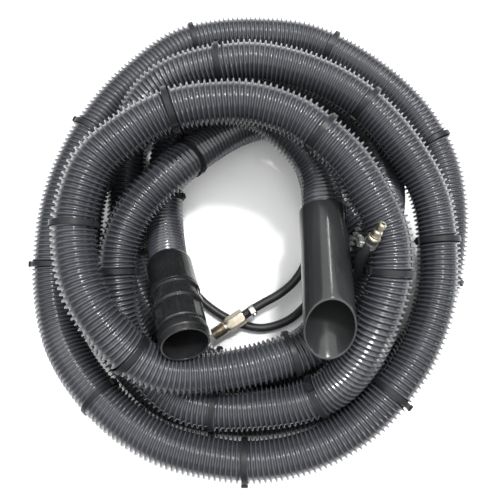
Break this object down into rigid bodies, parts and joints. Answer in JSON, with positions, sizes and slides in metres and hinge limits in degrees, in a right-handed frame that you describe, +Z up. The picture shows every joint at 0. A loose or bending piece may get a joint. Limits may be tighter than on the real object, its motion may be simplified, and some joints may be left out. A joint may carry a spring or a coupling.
{
  "type": "vacuum hose",
  "caption": "Corrugated suction hose with a swivel cuff, a slant-cut pipe nozzle and a rubber air line tied along it, laid up in a loose three-layer coil.",
  "frame": {"origin": "centre of the coil's footprint, on the surface it lies on", "axes": "+Z up from that surface; +Y along the longer side of the coil, away from the mouths of the cuff and the nozzle; +X to the nozzle's side"},
  "size_m": [0.6917, 0.7195, 0.245],
  "materials": {
    "hose_grey": "semi-gloss ribbed PVC",
    "rubber_black": "matte",
    "tie_black": "satin nylon",
    "cuff_black": "satin moulded",
    "pipe_grey": "glossy extruded",
    "clamp_steel": "bright stainless",
    "fitting_nickel": "nickel-plated, lightly tarnished"
  },
  "bodies": {
    "root": {"air_line": "rubber_black", "cable_tie_01": "tie_black", "cable_tie_02": "tie_black", "cable_tie_03": "tie_black", "cable_tie_04": "tie_black", "cable_tie_05": "tie_black", "cable_tie_06": "tie_black", "cable_tie_07": "tie_black", "cable_tie_08": "tie_black", "cable_tie_09": "tie_black", "cable_tie_10": "tie_black", "cable_tie_11": "tie_black", "cable_tie_12": "tie_black", "cable_tie_13": "tie_black", "cable_tie_14": "tie_black", "cable_tie_15": "tie_black", "cable_tie_16": "tie_black", "cable_tie_17": "tie_black", "cable_tie_18": "tie_black", "cable_tie_19": "tie_black", "cable_tie_20": "tie_black", "cable_tie_21": "tie_black", "cable_tie_22": "tie_black", "cable_tie_23": "tie_black", "cable_tie_24": "tie_black", "cable_tie_25": "tie_black", "cable_tie_26": "tie_black", "cable_tie_27": "tie_black", "cable_tie_28": "tie_black", "cable_tie_29": "tie_black", "cable_tie_30": "tie_black", "cable_tie_31": "tie_black", "cable_tie_32": "tie_black", "cable_tie_33": "tie_black", "cable_tie_34": "tie_black", "cable_tie_35": "tie_black", "cable_tie_36": "tie_black", "cable_tie_37": "tie_black", "cuff_collar": "cuff_black", "cuff_retaining_ring": "clamp_steel", "cuff_seal": "rubber_black", "nozzle_gasket": "rubber_black", "nozzle_tube": "pipe_grey", "plug_clamp_band": "clamp_steel", "plug_clamp_housing": "clamp_steel", "quick_plug": "fitting_nickel", "thread_clamp_band": "clamp_steel", "thread_clamp_housing": "clamp_steel", "thread_fitting": "fitting_nickel", "vacuum_hose": "hose_grey"},
    "cuff": {"cuff_swivel_body": "cuff_black"},
    "plug_clamp_screw": {"plug_clamp_screw": "clamp_steel"},
    "thread_clamp_screw": {"thread_clamp_screw": "clamp_steel"}
  },
  "joints": [
    {"name": "cuff_swivel", "type": "hinge", "parent": "root", "child": "cuff", "pos_m": [-0.10031, -0.10676, 0.14223], "axis": [0.2636, -0.7043, 0.6591], "continuous": true},
    {"name": "plug_clamp_screw_turn", "type": "hinge", "parent": "root", "child": "plug_clamp_screw", "pos_m": [0.13386, -0.0348, 0.21642], "axis": [0.042, 0.8119, -0.5823], "continuous": true},
    {"name": "thread_clamp_screw_turn", "type": "hinge", "parent": "root", "child": "thread_clamp_screw", "pos_m": [0.00348, -0.12328, 0.0416], "axis": [0.5388, -0.8425, 0], "continuous": true}
  ]
}
